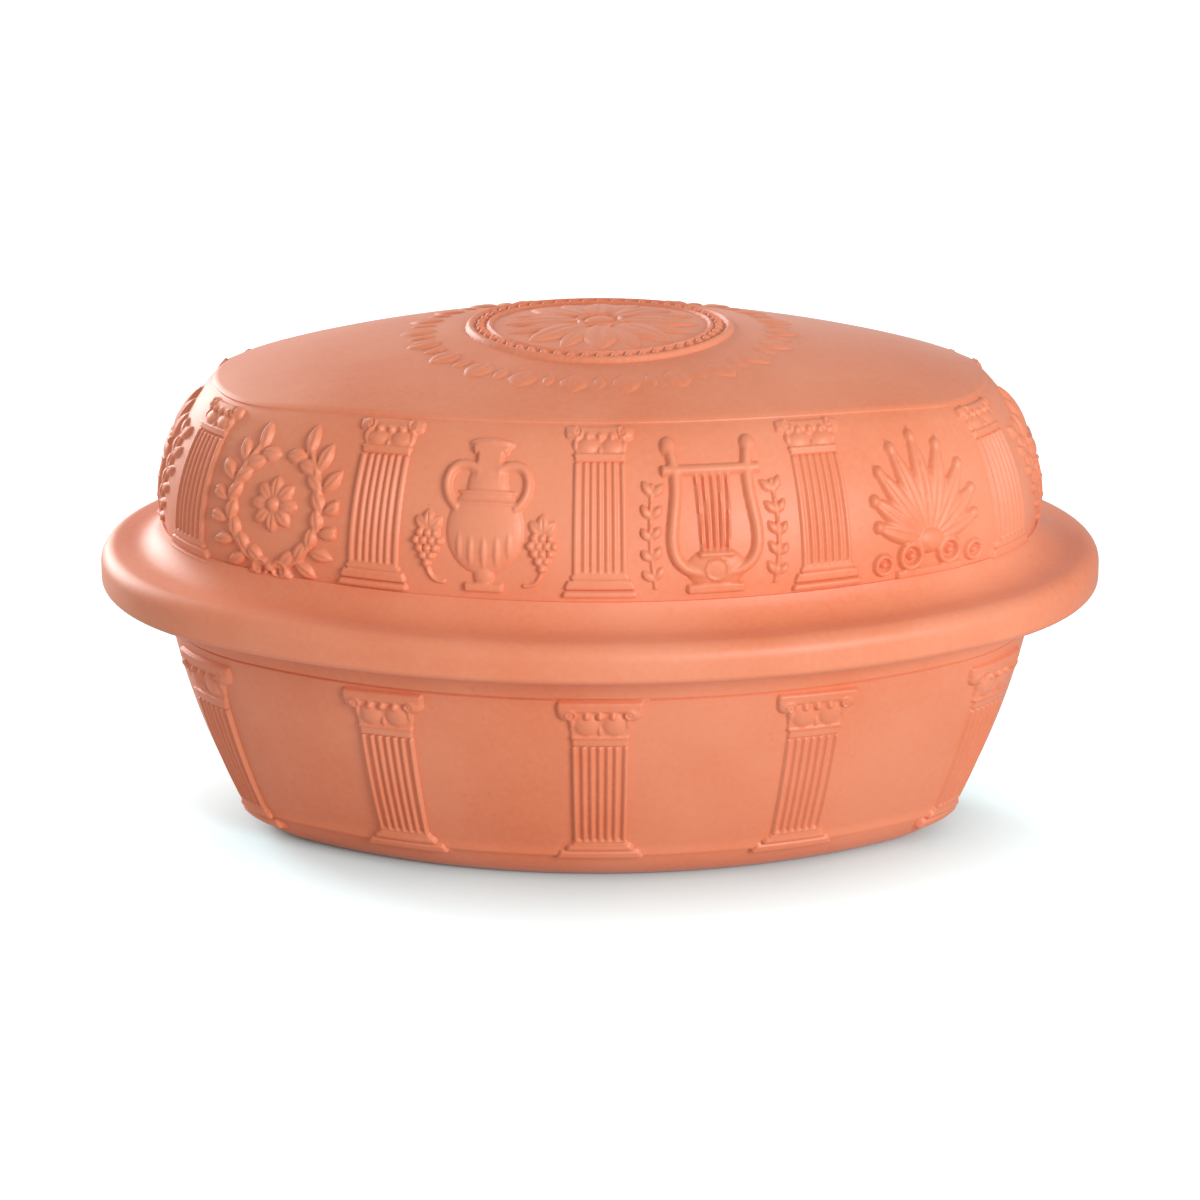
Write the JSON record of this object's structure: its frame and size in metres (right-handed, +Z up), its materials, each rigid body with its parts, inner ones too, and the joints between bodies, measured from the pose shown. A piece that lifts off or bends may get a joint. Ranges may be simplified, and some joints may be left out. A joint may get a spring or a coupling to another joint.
{
  "type": "clay roaster",
  "caption": "Oval unglazed terracotta roasting pot with a deep dish and a domed lid, both with fluted columns in relief.",
  "frame": {"origin": "centre of the bounding box's bottom face, under the middle of the dish's foot", "axes": "+Z up, +X along the length of the oval, -Y is the side that the picture shows"},
  "size_m": [0.35, 0.236, 0.1839],
  "materials": {
    "terracotta": "matte unglazed fired clay, fine grained, salmon orange"
  },
  "bodies": {
    "root": {"base_dish": "terracotta", "lid": "terracotta"}
  },
  "joints": []
}
